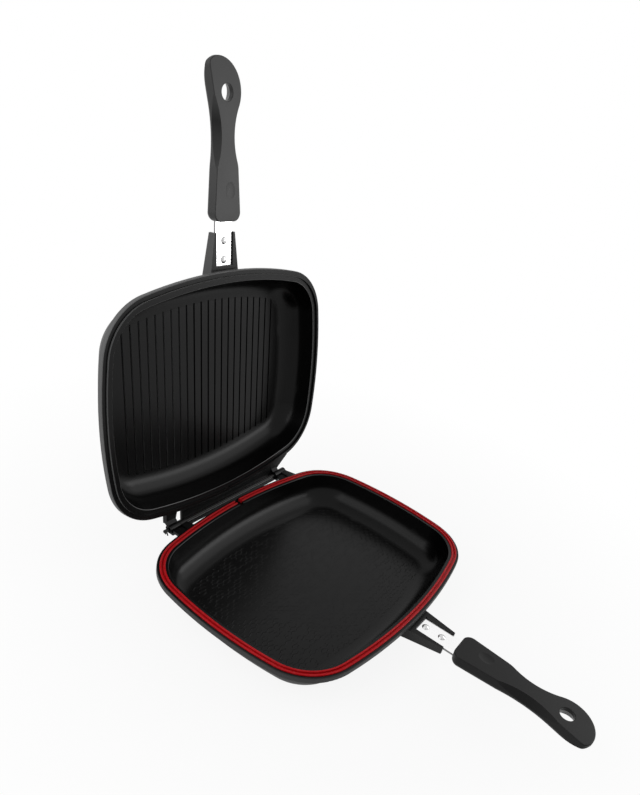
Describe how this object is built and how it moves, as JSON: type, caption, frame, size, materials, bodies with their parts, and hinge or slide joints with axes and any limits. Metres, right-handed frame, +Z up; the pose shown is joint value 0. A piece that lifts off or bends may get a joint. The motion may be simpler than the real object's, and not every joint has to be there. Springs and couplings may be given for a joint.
{
  "type": "double sided flip pan",
  "caption": "Hinged two-sided flip pan standing open: dark non-stick halves with a ridged lid floor, red silicone rim seal, steel strap handles and flat black grips.",
  "frame": {"origin": "middle of the lower pan's flat base, on the surface it stands on", "axes": "+Z up, +X along the hinge rod, +Y from the lower handle towards the hinge, so the lower grip points to -Y"},
  "size_m": [0.3524, 0.5739, 0.5208],
  "materials": {
    "coated_aluminium": "cast aluminium with a satin black non-stick coating",
    "red_silicone": "soft red silicone",
    "stainless": "polished stainless steel",
    "black_phenolic": "satin black moulded phenolic",
    "magnet_steel": "plated disc magnet"
  },
  "bodies": {
    "lower_half": {"lower_pan": "coated_aluminium", "rim_gasket": "red_silicone", "hinge_rod": "stainless", "hinge_washer": "stainless", "split_pin": "stainless", "lower_handle_strap": "stainless", "lower_rivet_inner": "stainless", "lower_rivet_outer": "stainless", "lower_grip": "black_phenolic", "lower_magnet": "magnet_steel", "lower_grip_screw": "stainless"},
    "lid": {"upper_pan": "coated_aluminium", "upper_handle_strap": "stainless", "upper_rivet_inner": "stainless", "upper_rivet_outer": "stainless", "upper_grip": "black_phenolic", "upper_magnet": "magnet_steel", "upper_grip_screw": "stainless"}
  },
  "joints": [
    {"name": "lid_hinge", "type": "hinge", "parent": "lower_half", "child": "lid", "pos_m": [0, 0.145, 0.04], "axis": [1, 0, 0], "range_deg": [0, 98.6]}
  ]
}
